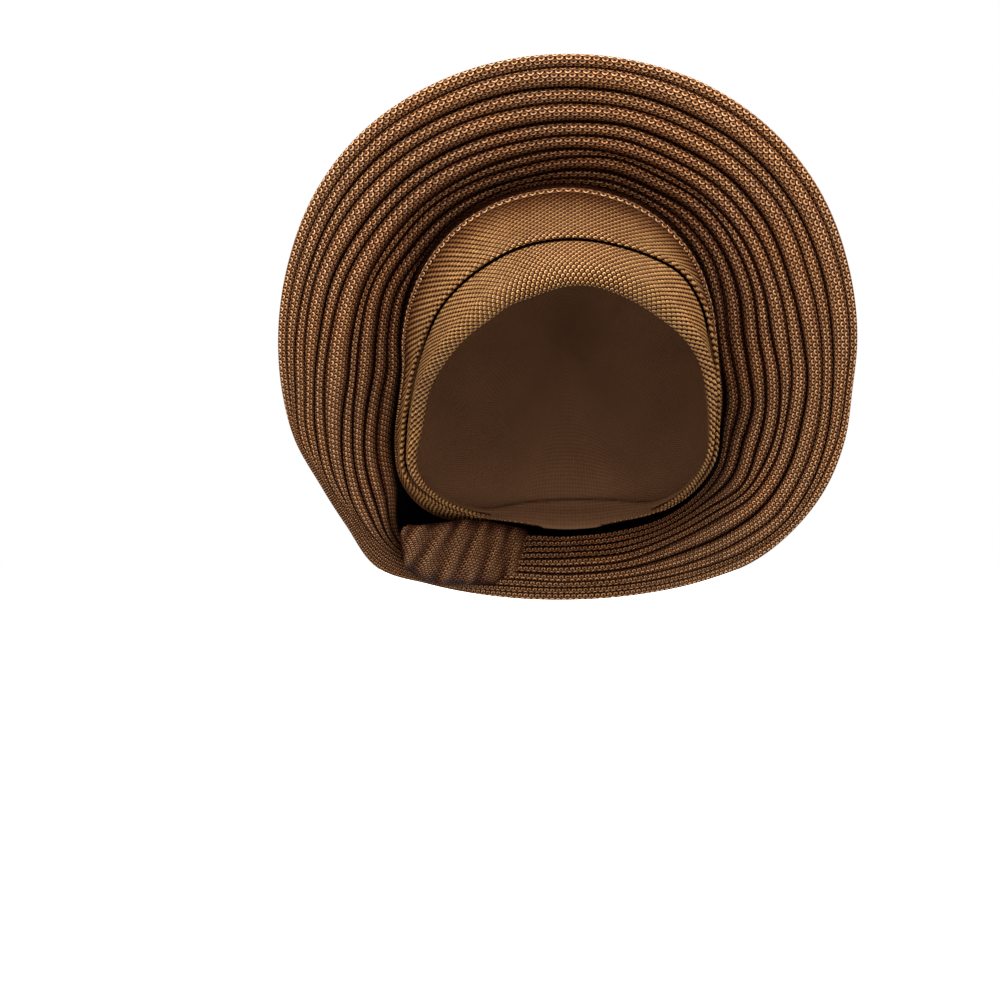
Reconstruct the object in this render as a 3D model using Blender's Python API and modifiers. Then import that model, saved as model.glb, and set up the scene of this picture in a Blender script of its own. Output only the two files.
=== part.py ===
"""A ready-tied pleated head wrap in the form it keeps on a head.

Metres, +Z up, the face looks along -Y and +X is the right side as it is looked at. The
origin is on top of the head inside the cap, where the wrap sits. Tables are in millimetres.
Every piece is worked out round one level line along Y, the hub, which passes through
the middle of the forehead: TURN is the angle about it from straight up, positive to +X,
a radius is measured from it and a depth is measured along +Y.
"""

import bmesh
import bpy
import numpy as np

MM = 0.001
HUB_HEIGHT = -79.5
CLOTH = 1.2
CAP_CLOTH = 1.6
PIECE_GAP = 0.3

# How far a roll of the fan stands out, as a share of its own width, and the most.
ROLL_RISE = 0.62
ROLL_MOST = 5.5

# All the round pieces have the same number of columns, so their facets lie parallel.
COLUMNS = 44

TURN = (-165, -145, -130, -110, -90, -60, -30, 0, 30, 60, 90, 110, 130, 145, 165, 180)

# One row per fold line of the fan, from its rim to the deep gap round the cap: the radius
# at each TURN. DIP says how deep the line is: 1 is a deep valley, 0.4 a shallow crease.
FOLD_RADIUS = {
    "rim": (132, 146.5, 144.7, 145.5, 145, 146.5, 145, 143.1, 145.5, 146.5, 144.7, 147.3, 147.5, 142, 132, 130),
    "fold_1": (129, 144.8, 143.5, 143.8, 140.8, 140.2, 137.8, 136.6, 139.5, 141.1, 140.8, 143.8, 144.2, 138.5, 129, 127),
    "fold_2": (126, 143, 142, 141, 136.2, 133.5, 128.5, 126.2, 128.3, 131.4, 132.3, 138.2, 141, 135.5, 126, 124),
    "fold_3": (122.5, 141.2, 140, 137.8, 131.5, 127.4, 121.4, 118.6, 121.2, 125.4, 126.7, 132.5, 136, 131, 122.5, 121),
    "fold_4": (119, 139.4, 137.5, 133.6, 124.5, 117.5, 111.5, 109.3, 111.9, 115.2, 117.8, 124.2, 128.2, 123.5, 118, 117),
    "fold_5": (116, 137.6, 134.2, 128, 119.4, 110.8, 104.5, 102.3, 104.3, 108.3, 110.4, 116.4, 121, 116.8, 114, 113),
    "fold_6": (113, 135.8, 129.5, 120.2, 108.3, 101.5, 96, 95.5, 97, 100.7, 102.3, 112.1, 116, 112.6, 110, 109),
    "fold_7": (110, 134, 124.5, 114.5, 104.3, 97.5, 92, 91.3, 93.5, 96.2, 95.5, 105, 112, 109, 107, 106),
    "fold_8": (107, 132, 120, 107.5, 96.2, 91, 85.8, 85.2, 86.4, 89.2, 88, 98.3, 106.8, 106, 104, 103),
    "fold_9": (104, 130, 116, 100.4, 90.2, 86.8, 82, 81, 81.6, 82.8, 80.3, 91.2, 101.5, 103, 101, 100.5),
    "gap": (101, 128, 111, 90.5, 83.7, 82.2, 79.7, 78.4, 78.2, 76.9, 76.6, 83.5, 97, 100, 98.5, 98),
}
DIP = {
    "fold_1": 0.45, "fold_2": 1.0, "fold_3": 0.45, "fold_4": 1.0, "fold_5": 0.45, "fold_6": 0.9,
    "fold_7": 0.6, "fold_8": 1.0, "fold_9": 0.5, "gap": 1.0,
}
FAN_DEPTH = {
    "rim": (80, 38, 12, -13, -34, -47, -51, -51, -51, -47, -34, -15, 10, 38, 80, 85),
    "gap": (82, 44, 14, -3, -13, -21, -23, -23, -23, -21, -13, -3, 12, 46, 80, 84),
}
# Where the fan's inner edge lies back on the cap, counted in rings of CAP_RINGS.
FAN_SEAT = 1.35

# The roll at the rim goes over to the back: (inward, behind) of each step at full size.
RIM_STEPS = ((0.8, 0.0), (0.0, 5.0), (2.0, 12.0), (7.8, 20.0))
RIM_SIZE = (0.5, 0.85, 1, 1, 1, 1, 1, 1, 1, 1, 1, 1, 1, 0.85, 0.5, 0.4)

# One row per ring of the cap, from the edge round the face to the back of the head.
CAP_RADIUS = {
    "edge": (94, 101, 97, 75.5, 53.5, 36, 28.6, 28.2, 30.8, 39.5, 59, 75, 91, 96, 93.5, 93),
    "crease": (89, 102, 101, 83.4, 71, 59, 52, 50, 53.5, 64.5, 70.7, 78, 93, 96, 88, 86),
    "gap": (81, 100, 104, 87.2, 81.2, 80, 77.4, 75.8, 75.6, 74.2, 73.6, 80, 93.6, 94, 80, 77),
    "widest": (68, 88, 97, 88, 84, 82.5, 81, 80.5, 80, 79, 79, 83, 90, 86, 67, 63),
    "back": (42, 53, 57, 56, 55, 55, 55, 55, 55, 55, 55, 56, 56, 52, 42, 40),
}
CAP_DEPTH = {
    "edge": (74, 36, -9, -36, -67, -86, -93, -95, -93, -83, -60, -36, -9, 36, 74, 79),
    "crease": (78, 41, -1, -19, -35, -57, -70, -73, -70, -53, -37, -22, -3, 41, 78, 82),
    "gap": (83, 52, 14, -4, -15, -24, -26, -25, -27, -25, -16, -5, 8, 52, 83, 86),
    "widest": (89, 72, 48, 36, 32, 27, 25, 24, 25, 27, 32, 36, 48, 72, 89, 91),
    "back": (95, 92, 88, 84, 80, 77, 75, 74, 75, 77, 80, 84, 88, 92, 95, 96),
}
CAP_END_DEPTH = 98.0
CAP_RINGS = ("crease", "gap", "widest", "back")
CAP_STEPS = (0, 0.33, 0.67, 1, 1.33, 1.67, 2, 2.33, 2.67, 3, 3.5, 4)

BAND_STEPS = 4
BAND_TUCK = 0.4
BAND_BOW = 2.6

# The cloth over the back: its rings as shares of the way from under the fan's rim to the
# ring where it reaches the cap, how far it bows out there, and its rings on the cap.
BACK_WAY = (0.0, 0.12, 0.27, 0.44, 0.62, 0.81)
BACK_BOW = (0.0, 3.5, 7.5, 10.5, 10.5, 7.0)
BACK_ON_CAP = (3.1, 3.5, 4)
BACK_START = (-6.4, 13.0)

# The gathered tuck low on the left: its turns, its outer radius there and its small gathers.
TUCK_TURN = (-160, -153, -148, -144, -140, -135, -129)
TUCK_OUTER = (132, 137, 141, 140, 129, 118, 108)
TUCK_INNER_CLEAR = 3.0
TUCK_CLEAR = 6.0
TUCK_GATHERS = 6
TUCK_RISE = 1.2
TUCK_ROWS = 5

COLOURS = {
    "fan_cloth": (0.30, 0.155, 0.055),
    "cap_cloth": (0.42, 0.22, 0.08),
    "back_cloth": (0.27, 0.14, 0.05),
}


def clear_scene():
    for item in list(bpy.data.objects):
        bpy.data.objects.remove(item, do_unlink=True)


def cloth_material(name):
    material = bpy.data.materials.new(name)
    material.use_nodes = True
    shader = material.node_tree.nodes["Principled BSDF"]
    shader.inputs["Base Color"].default_value = (*COLOURS[name], 1.0)
    shader.inputs["Roughness"].default_value = 0.45
    shader.inputs["Metallic"].default_value = 0.35
    return material


def at_turn(row, turn):
    """The value of a table's row at a turn in degrees, on a smooth closed curve."""
    knots = np.array([TURN[-1] - 360, *TURN, TURN[0] + 360, TURN[1] + 360], float)
    values = np.array([row[-1], *row, row[0], row[1]], float)
    turn = (np.asarray(turn, float) + 165.0) % 360.0 - 165.0
    slopes = np.gradient(values, knots)
    place = np.clip(np.searchsorted(knots, turn, side="right") - 1, 0, len(knots) - 2)
    span = knots[place + 1] - knots[place]
    part = (turn - knots[place]) / span
    rest = 1 - part
    return (
        values[place] * (1 + 2 * part) * rest**2
        + values[place + 1] * (3 - 2 * part) * part**2
        + slopes[place] * span * part * rest**2
        - slopes[place + 1] * span * part**2 * rest
    )


def placed(turn, radius, depth):
    """A point in metres from a turn, a radius and a depth."""
    angle = np.radians(turn)
    return MM * np.array([radius * np.sin(angle), depth, radius * np.cos(angle) + HUB_HEIGHT])


def sheet(name, material, collection, columns, rows, shape, thickness):
    """A grid moved onto shape(along, across), joined where it meets itself, and thickened."""
    bpy.ops.mesh.primitive_grid_add(x_subdivisions=columns, y_subdivisions=rows, size=1.0)
    item = bpy.context.active_object
    item.name = name
    item.data.name = name
    for vertex in item.data.vertices:
        vertex.co = shape(vertex.co.x + 0.5, vertex.co.y + 0.5)
    mesh = bmesh.new()
    mesh.from_mesh(item.data)
    bmesh.ops.remove_doubles(mesh, verts=mesh.verts, dist=0.00002)
    mesh.to_mesh(item.data)
    mesh.free()
    wall = item.modifiers.new("wall", "SOLIDIFY")
    wall.thickness = thickness * MM
    wall.offset = -1.0
    item.data.materials.append(material)
    for holder in list(item.users_collection):
        holder.objects.unlink(item)
    collection.objects.link(item)


def all_round(along):
    return -180 + 360 * along


def nth(rows, across):
    """The row of a list that a share across the grid falls on."""
    return rows[int(round(across * (len(rows) - 1)))]


def cap_point(turn, ring):
    """A point on the outside of the cap as (radius, depth): ring counts CAP_RINGS, 4 is the end."""
    rings = [(at_turn(CAP_RADIUS[name], turn), at_turn(CAP_DEPTH[name], turn)) for name in CAP_RINGS]
    rings = np.array([*rings, (0.0, CAP_END_DEPTH)], float)
    slopes = np.gradient(rings, axis=0)
    slopes[-1] = (-rings[-2][0], 0.0)
    place = min(int(ring), len(rings) - 2)
    part = ring - place
    rest = 1 - part
    return (
        rings[place] * (1 + 2 * part) * rest**2
        + rings[place + 1] * (3 - 2 * part) * part**2
        + slopes[place] * part * rest**2
        - slopes[place + 1] * part**2 * rest
    )


def off_cap(turn, ring, away):
    """A point that stands off the outside of the cap; a minus is towards the head."""
    here = placed(turn, *cap_point(turn, ring))
    before = placed(turn, *cap_point(turn, max(ring - 0.05, 0)))
    after = placed(turn, *cap_point(turn, min(ring + 0.05, 3.99)))
    beside = placed(turn + 2, *cap_point(turn + 2, min(ring, 3.9)))
    beside = beside - placed(turn - 2, *cap_point(turn - 2, min(ring, 3.9)))
    normal = np.cross(beside, after - before)
    if ring > 3.99:
        normal = np.array([0.0, 1.0, 0.0])
    return here + normal / np.linalg.norm(normal) * away * MM


def cap_shape(along, across):
    turn = all_round(along)
    return placed(turn, *cap_point(turn, nth(CAP_STEPS, across)))


def band_shape(along, across):
    """The band round the face opening, from its edge to where it tucks under the cap."""
    turn = all_round(along)
    edge = placed(turn, at_turn(CAP_RADIUS["edge"], turn), at_turn(CAP_DEPTH["edge"], turn))
    under = -CAP_CLOTH - PIECE_GAP
    tucked = off_cap(turn, CAP_STEPS[0], under)
    step = across * BAND_STEPS
    if step > BAND_STEPS - 0.5:
        return tucked + (off_cap(turn, CAP_STEPS[1], under) - tucked) * BAND_TUCK
    part = step / (BAND_STEPS - 1)
    out = placed(turn, 1.0, -1.0) - placed(turn, 0.0, 0.0)
    return edge + (tucked - edge) * part + out * BAND_BOW * np.sin(np.pi * part)


def fan_profile(turn):
    """The fan's section at a turn as (radius, depth) points: three to each roll, then the rim."""
    names = list(FOLD_RADIUS)[::-1]
    radii = [float(at_turn(FOLD_RADIUS[name], turn)) for name in names]
    start = float(at_turn(FAN_DEPTH["gap"], turn))
    stop = float(at_turn(FAN_DEPTH["rim"], turn))
    points = []
    for name, inner, outer in zip(names, radii, radii[1:]):
        rise = min(ROLL_MOST, ROLL_RISE * (outer - inner))
        for share, lift in ((0.0, 1 - DIP[name]), (0.3, 0.9), (0.75, 0.95)):
            radius = inner + share * (outer - inner)
            way = (radius - radii[0]) / (radii[-1] - radii[0])
            points.append((radius, start + (stop - start) * way**0.8 + ROLL_MOST / 2 - rise * lift))
    size = float(at_turn(RIM_SIZE, turn))
    return points + [(radii[-1] - inward * size, stop + behind * size) for inward, behind in RIM_STEPS]


def fan_shape(along, across):
    turn = all_round(along)
    profile = fan_profile(turn)
    step = int(round(across * len(profile)))
    if step == 0:
        return off_cap(turn, FAN_SEAT, PIECE_GAP + 0.1)
    return placed(turn, *profile[step - 1])


def back_shape(along, across):
    """The outer cloth of the back, from under the fan's rim until it lies on the cap."""
    turn = all_round(along)
    step = int(round(across * (len(BACK_WAY) + len(BACK_ON_CAP) - 1)))
    on_cap = CLOTH + PIECE_GAP + 0.1
    if step >= len(BACK_WAY):
        return off_cap(turn, BACK_ON_CAP[step - len(BACK_WAY)], on_cap)
    size = float(at_turn(RIM_SIZE, turn))
    start = placed(
        turn,
        at_turn(FOLD_RADIUS["rim"], turn) + BACK_START[0] * size - CLOTH / 2,
        at_turn(FAN_DEPTH["rim"], turn) + BACK_START[1] * size,
    )
    stop = off_cap(turn, BACK_ON_CAP[0], on_cap)
    out = placed(turn, 0.6, 0.8) - placed(turn, 0.0, 0.0)
    return start + (stop - start) * BACK_WAY[step] + out * BACK_BOW[step] * size


def tuck_shape(along, across):
    """Cloth gathered in small folds over the lower left ends of the fan's rolls."""
    turn = TUCK_TURN[0] + (TUCK_TURN[-1] - TUCK_TURN[0]) * along
    inner = float(at_turn(CAP_RADIUS["edge"], turn)) + TUCK_INNER_CLEAR
    outer = float(np.interp(turn, TUCK_TURN, TUCK_OUTER))
    radius = inner + (outer - inner) * across
    rim = float(at_turn(FOLD_RADIUS["rim"], turn))
    near = float(at_turn(CAP_DEPTH["edge"], turn)) - TUCK_INNER_CLEAR
    far = float(at_turn(FAN_DEPTH["rim"], turn)) - TUCK_CLEAR
    depth = near + (far - near) * (radius - inner) / (rim - inner)
    return placed(turn, radius, depth - TUCK_RISE * np.cos(2 * np.pi * TUCK_GATHERS * along))


def build():
    clear_scene()
    collection = bpy.data.collections.new("pleated_head_wrap")
    bpy.context.scene.collection.children.link(collection)
    cloth = {name: cloth_material(name) for name in COLOURS}
    fan_rows = 3 * (len(FOLD_RADIUS) - 1) + len(RIM_STEPS)
    back_rows = len(BACK_WAY) + len(BACK_ON_CAP) - 1
    sheet("pleated_fan", cloth["fan_cloth"], collection, COLUMNS, fan_rows, fan_shape, CLOTH)
    sheet("crown_cap", cloth["cap_cloth"], collection, COLUMNS, len(CAP_STEPS) - 1, cap_shape, CAP_CLOTH)
    sheet("brow_band", cloth["cap_cloth"], collection, COLUMNS, BAND_STEPS, band_shape, CLOTH)
    sheet("back_wrap", cloth["back_cloth"], collection, COLUMNS, back_rows, back_shape, CLOTH)
    sheet("side_tuck", cloth["fan_cloth"], collection, 4 * TUCK_GATHERS, TUCK_ROWS, tuck_shape, CLOTH)


build()
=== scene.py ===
"""Looks of the pleated head wrap: its cloth laid fold by fold, and the gold brocade."""

import bpy
import numpy as np
from mathutils import Matrix, Vector


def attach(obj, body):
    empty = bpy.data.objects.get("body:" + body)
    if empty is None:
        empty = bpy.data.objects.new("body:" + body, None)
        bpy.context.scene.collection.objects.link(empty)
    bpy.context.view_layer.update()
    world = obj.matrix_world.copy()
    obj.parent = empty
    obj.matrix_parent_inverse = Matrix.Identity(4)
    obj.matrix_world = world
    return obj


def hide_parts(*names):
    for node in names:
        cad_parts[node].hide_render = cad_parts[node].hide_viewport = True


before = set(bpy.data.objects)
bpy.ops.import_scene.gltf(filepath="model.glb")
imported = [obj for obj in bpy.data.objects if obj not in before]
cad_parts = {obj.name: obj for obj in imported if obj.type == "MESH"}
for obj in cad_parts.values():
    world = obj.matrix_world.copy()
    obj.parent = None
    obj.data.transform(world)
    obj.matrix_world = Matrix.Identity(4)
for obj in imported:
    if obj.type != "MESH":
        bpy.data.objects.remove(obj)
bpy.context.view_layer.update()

MM = 0.001

# The hub is a level line along Y, a little above the middle of the wrap. A turn is the angle
# about it from straight up, positive to +X; radii and depths (along +Y) are in millimetres.
HUB_HEIGHT = -79.5

# The wrap is looked at from here, and radii are as they look on a plane at PICTURE_DEPTH.
EYE = (-34.0, -3000.0, -159.5)
PICTURE_DEPTH = -30.0
PICTURE_WIDTH = 500.0

TURN = (-165, -150, -140, -130, -120, -110, -100, -90, -75, -60, -45, -30, -15, 0,
        15, 30, 45, 60, 75, 90, 100, 110, 120, 130, 140, 150, 165, 180)

# The fan's fold lines from the rim to the deep gap round the cap: the radius at each turn.
FOLD_RADIUS = {
    "rim": (
        133, 140.8, 148.5, 144.7, 143.6, 145.5, 145.3, 145, 145.2, 146.5, 146.5, 145, 143.7, 143.1,
        143.8, 145.5, 146.5, 146.5, 145.2, 144.7, 144.4, 147.3, 148.7, 147.5, 144.5, 138.6, 132, 130,
    ),
    "fold_1": (
        130, 139.4, 146.6, 143.7, 142.7, 144.2, 141.5, 140.8, 140.2, 140.2, 139.9, 137.8, 136.5, 136.6,
        137.6, 139.4, 141, 141.1, 140.3, 140.8, 141, 143.5, 144.3, 144.4, 140.1, 134.8, 129, 127,
    ),
    "fold_2": (
        127, 138, 145.2, 142.6, 141.9, 142.4, 138.3, 136.2, 134.3, 133.5, 131.7, 128.4, 126.7, 126.2,
        127, 128.2, 130.5, 131.4, 131.3, 132.3, 134.4, 138, 141, 141.5, 138, 132, 126, 124,
    ),
    "fold_3": (
        123.5, 136.5, 143.6, 141.2, 140.9, 138.8, 133.5, 131.4, 129.6, 127.3, 124.2, 121.3, 119, 118.6,
        119.7, 121.1, 123.7, 125.3, 124.5, 126.6, 129.1, 132.5, 135, 136, 132, 127.5, 122.5, 121,
    ),
    "fold_4": (
        120, 135, 142, 140, 139.2, 134.3, 128.7, 124.5, 121.6, 117.5, 114.5, 111.4, 109.3, 109.2,
        110.8, 111.8, 114.5, 115.2, 114.6, 117.7, 121.6, 124.1, 127.3, 128.2, 125.2, 121, 118, 117,
    ),
    "fold_5": (
        117, 133.5, 140.3, 138.5, 135.2, 129, 123.6, 119.4, 115.6, 110.8, 107.7, 104.5, 102, 102.3,
        103.8, 104.2, 107.1, 108.3, 108.5, 110.3, 113.5, 116.3, 119.9, 120.8, 116.7, 114.5, 114, 113,
    ),
    "fold_6": (
        114, 132, 138.5, 136.8, 129.5, 120.2, 111.7, 108.2, 105, 101.5, 98.5, 96, 95, 95.5,
        96, 97, 99, 100.7, 101, 102.2, 107.5, 112.1, 115.3, 116.6, 112.8, 111, 110, 109,
    ),
    "fold_7": (
        111, 130.5, 136.5, 131.2, 123.4, 114.5, 107.5, 104.3, 102, 97.5, 95.2, 92, 90, 91.3,
        93.7, 93.5, 96.1, 96.1, 95.6, 95.5, 100, 105, 108.9, 113.5, 109.6, 108, 107, 106,
    ),
    "fold_8": (
        108, 129, 134.5, 125.9, 117.4, 107.5, 99, 96.1, 95, 91, 88.4, 85.8, 83.8, 85.1,
        86.3, 86.4, 88.8, 89.1, 88.4, 88, 91.9, 98.3, 101.1, 106.8, 106, 105.5, 104, 103,
    ),
    "fold_9": (
        105, 127.5, 132, 119.5, 110.3, 100.4, 92.2, 90.1, 88.7, 84.3, 82.9, 81.5, 80.9, 80.7,
        81.7, 81.6, 82.7, 82.7, 80.7, 80.2, 84.5, 91.2, 94.7, 100.7, 103, 103, 101, 100.5,
    ),
    "gap": (
        102, 126, 128.5, 111, 101, 90.5, 84.5, 83.7, 83.5, 82.7, 81.2, 79.4, 78.2, 77.8,
        77.4, 77.6, 77, 76, 74.4, 74.6, 77.5, 83.5, 88.5, 97, 100, 100.5, 98.5, 98,
    ),
}
# How deep each fold line is, as a share of the rise of the rolls beside it.
FOLD_DIP = {
    "rim": 0.55, "fold_1": 0.7, "fold_2": 1.3, "fold_3": 0.75, "fold_4": 1.35, "fold_5": 0.75,
    "fold_6": 1.1, "fold_7": 0.95, "fold_8": 1.2, "fold_9": 0.6, "gap": 1.7,
}
# How deep the fan's bowl lies at the rim and at the gap.
FAN_DEPTH = {
    "rim": (
        80, 52, 28, 12, -2, -13, -25, -34, -42, -47, -50, -51, -51, -51,
        -51, -51, -50, -47, -42, -34, -26, -15, -4, 10, 28, 50, 80, 85,
    ),
    "gap": (
        82, 54, 36, 14, 4, -3, -9, -13, -18, -21, -22, -23, -23, -23,
        -23, -23, -22, -21, -18, -13, -9, -3, 4, 12, 34, 56, 80, 84,
    ),
}
# A roll rises by this share of its width, up to ROLL_MOST, from a level that lies ROLL_LEVEL
# behind the bowl. A lower ROLL_ROUND makes its sides steeper and its top flatter.
ROLL_RISE = 0.85
ROLL_MOST = 7.5
ROLL_LEVEL = 2.75
ROLL_ROUND = 0.75
# How the fan's bowl deepens from the rim to the gap, and its rolls' own small unevenness.
BOWL_CURVE = 0.8
FOLD_SEED, FOLD_WANDER = 40, 0.16
RISE_SEED, RISE_WANDER = 80, 0.05
# The fan starts on the cap behind the gap. The gap is shut at the nape, from GAP_SHUT_FROM
# on, and opens over GAP_FADE degrees; GAP_REACH and GAP_BESIDE are shares of the way to the rim.
FAN_SEAT, SEAT_ROOM = 1.35, 0.4
GAP_DEEPER, GAP_REACH = 8.0, 0.38
GAP_SHUT_FROM, GAP_FADE = 165, 30
GAP_BESIDE, GAP_FLOOR, GAP_FLOOR_OPEN = 0.1, 0.6, 1.2
# How much painted shade the shallowest fold and the inner rolls are given.
FOLD_SHADE = 0.35
FAN_SHADE = 0.49
# The turn over the rim: steps inwards and backwards, and their size at each turn. The first
# RIM_EASE steps lie further back where the last roll ends less than RIM_ROOM before the rim.
RIM_STEPS = ((0.0, 1.5), (0.0, 5.0), (0.7, 8.5), (2.0, 12.0), (4.6, 16.2), (7.8, 20.0))
RIM_ROOM, RIM_EASE = 0.8, 3
RIM_SIZE = (0.5, 0.75, 0.9, 1, 1, 1, 1, 1, 1, 1, 1, 1, 1, 1,
            1, 1, 1, 1, 1, 1, 1, 1, 1, 1, 0.9, 0.75, 0.5, 0.4)

# The rings of the cap, from the front edge of the band to the middle of the back.
CAP_RADIUS = {
    "edge": (
        94, 99, 102, 99.6, 84.9, 75, 63.4, 53.5, 41.5, 35.5, 30.5, 28.2, 27.8, 28.4,
        29.7, 31.8, 34.6, 39.6, 47.5, 60, 68.3, 75, 82.5, 91, 95, 96, 93.5, 93,
    ),
    "crease": (
        89, 99, 103, 104, 93.3, 83.4, 76.4, 71, 65, 59, 54.5, 52, 50.3, 50,
        51, 53.5, 58.5, 65.3, 68.5, 70.7, 73.8, 78, 84.5, 93, 96, 95, 88, 86,
    ),
    "gap": (
        88, 104, 110, 108.5, 99.3, 89.4, 83.2, 82, 80.9, 80, 79, 77.4, 76.1, 75.8,
        75.6, 75.6, 75.1, 74.2, 73, 73.6, 76.3, 81.5, 87, 94.5, 97, 97, 88, 84,
    ),
    "widest": (
        68, 84, 92, 97, 92, 88, 86, 84, 83, 82.5, 82, 81, 80.5, 80.5,
        80.5, 80, 79.5, 79, 79, 79, 80.5, 83, 86, 90, 90, 83, 67, 63,
    ),
    "back": (
        42, 51, 55, 57, 57, 56, 55, 55, 55, 55, 55, 55, 55, 55,
        55, 55, 55, 55, 55, 55, 55, 56, 56, 56, 54, 50, 42, 40,
    ),
}
CAP_DEPTH = {
    "edge": (
        74, 45, 20, -9, -22, -36, -53, -67, -79, -86, -90.5, -93, -94.7, -95,
        -94.7, -93, -89.5, -83, -73, -60, -47, -36, -22, -9, 20, 46, 74, 79,
    ),
    "crease": (
        78, 51, 26, -1, -10, -19, -27, -35, -47, -57, -65, -70, -72.4, -73,
        -72.4, -70, -63.5, -53, -45, -37, -29, -22, -13, -3, 26, 52, 78, 82,
    ),
    "gap": (
        83, 60, 38, 14, 5, -4, -10, -15, -20, -24, -26, -26.5, -26, -25,
        -26, -27, -27, -25, -21, -16, -11, -5, 0, 8, 36, 61, 83, 86,
    ),
    "widest": (
        89, 77, 62, 48, 41, 36, 34, 32, 29.5, 27, 25.8, 25, 24.3, 24,
        24.3, 25, 25.8, 27, 29.5, 32, 34, 36, 41, 48, 62, 77, 89, 91,
    ),
    "back": (
        95, 93, 91, 88, 86, 84, 83, 82, 80, 78, 77, 76, 75.3, 75,
        75.3, 76, 77, 78, 80, 82, 83, 84, 86, 88, 91, 93, 95, 96,
    ),
}
CAP_RINGS = ("crease", "gap", "widest", "back")
CAP_END_DEPTH = 98.0

# How far apart the weave's rings stand along a roll, in millimetres of the picture.
RING_STEP = (3.0, 2.9, 2.75, 2.7, 2.75, 2.85, 2.95, 3.0, 3.2, 3.55, 3.9, 4.2, 4.4, 4.5,
             4.45, 4.3, 4.1, 3.9, 3.7, 3.6, 3.45, 3.35, 3.2, 3.1, 3.1, 3.2, 3.2, 3.1)
# How far apart the scales of the weave stand on the cloth, and how far out on the cap, to
# either side, they begin to run together into strokes and have done so.
RING_ALONG = 4.5
RING_ACROSS = 4.2
STROKES_FROM = (20.0, 68.0)

# How thick the cloth's walls are.
CLOTH = 0.9


# ---- the wrap's shape ----

# Waves round the wrap that are added up, each moved on by up to WANDER_SHIFT and at least
# half its full size, and the short ones lower.
WANDER_WAVES = (3, 5, 8, 13, 21)
WANDER_SHIFT = 6.28
WANDER_FALL = 0.6
# The lean of the cap's cloth is measured across so many rings and degrees, and from these
# rings where the cap closes behind them.
RING_NUDGE = 0.05
TURN_NUDGE = 2
LEAN_BESIDE, LEAN_FROM, LEAN_TO = 3.9, 3.95, 3.99


def all_round(columns):
    """Turns from under the wrap, up the left side, over the top and down again."""
    return np.linspace(-180, 180, columns + 1)


def eased(here, there, slope, slope_there, part):
    """The smooth curve between two knots, part of the way from one to the other."""
    rest = 1 - part
    return (
        here * (1 + 2 * part) * rest**2
        + there * (3 - 2 * part) * part**2
        + slope * part * rest**2
        - slope_there * part**2 * rest
    )


def at_turn(row, turn):
    """The value of a table's row at turns in degrees, on a smooth closed curve."""
    knots = np.array([TURN[-1] - 360, *TURN, TURN[0] + 360, TURN[1] + 360], float)
    values = np.array([row[-1], *row, row[0], row[1]], float)
    turn = (np.asarray(turn, float) - TURN[0]) % 360.0 + TURN[0]
    slopes = np.gradient(values, knots)
    place = np.clip(np.searchsorted(knots, turn, side="right") - 1, 0, len(knots) - 2)
    span = knots[place + 1] - knots[place]
    part = (turn - knots[place]) / span
    return eased(values[place], values[place + 1], slopes[place] * span, slopes[place + 1] * span, part)


def placed(turn, radius, depth):
    """Points in millimetres from turns, radii as they look in the picture, and depths."""
    turn, radius, depth = np.broadcast_arrays(np.radians(turn), radius, depth)
    away = (depth - EYE[1]) / (PICTURE_DEPTH - EYE[1])
    across = EYE[0] + (radius * np.sin(turn) - EYE[0]) * away
    height = EYE[2] + (radius * np.cos(turn) + HUB_HEIGHT - EYE[2]) * away
    return np.stack([across, depth, height], axis=-1)


def wander(turn, seed, size):
    """A small smooth unevenness round the wrap, the same at both ends of the turn."""
    pick = np.random.default_rng(seed)
    total = np.zeros_like(np.asarray(turn, float))
    for waves in WANDER_WAVES:
        shift, share = pick.uniform(0, WANDER_SHIFT), pick.uniform(0.5, 1)
        total += np.sin(np.radians(turn) * waves + shift) * share / waves**WANDER_FALL
    return size * total


def cap_section(turn, ring):
    """(radius, depth) on the outside of the cap: ring counts CAP_RINGS, and 4 is the end."""
    turn, ring = np.broadcast_arrays(np.asarray(turn, float), np.asarray(ring, float))
    rings = [np.stack([at_turn(CAP_RADIUS[n], turn), at_turn(CAP_DEPTH[n], turn)]) for n in CAP_RINGS]
    rings.append(np.stack([np.zeros_like(turn), np.full_like(turn, CAP_END_DEPTH)]))
    rings = np.array(rings)
    slopes = np.gradient(rings, axis=0)
    slopes[-1] = np.stack([-rings[-2][0], np.zeros_like(turn)])
    place = np.clip(np.floor(ring), 0, len(CAP_RINGS) - 1).astype(int)
    part = np.minimum(ring - place, 1.0)
    pick = np.arange(len(turn))
    here, there = rings[place, :, pick].T, rings[place + 1, :, pick].T
    slope, slope_there = slopes[place, :, pick].T, slopes[place + 1, :, pick].T
    return np.where(part < 0, here + slope * part, eased(here, there, slope, slope_there, part))


def off_cap(turn, ring, away):
    """Points that stand off the outside of the cap; a minus is inwards."""
    ring = np.broadcast_to(np.asarray(ring, float), np.shape(turn))
    here = placed(turn, *cap_section(turn, ring))
    low = np.minimum(ring, LEAN_FROM) - RING_NUDGE
    high = np.minimum(ring + RING_NUDGE, LEAN_TO)
    near = np.minimum(ring, LEAN_BESIDE)
    back_over = placed(turn, *cap_section(turn, high)) - placed(turn, *cap_section(turn, low))
    left, right = turn - TURN_NUDGE, turn + TURN_NUDGE
    beside = placed(right, *cap_section(right, near)) - placed(left, *cap_section(left, near))
    normal = np.cross(beside, back_over)
    normal[ring > LEAN_TO] = (0.0, 1.0, 0.0)
    return here + normal / np.linalg.norm(normal, axis=-1, keepdims=True) * np.asarray(away)[..., None]


# ---- cloth as meshes ----

# Points nearer than this, in metres, become one.
WELD = 0.00001


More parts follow.
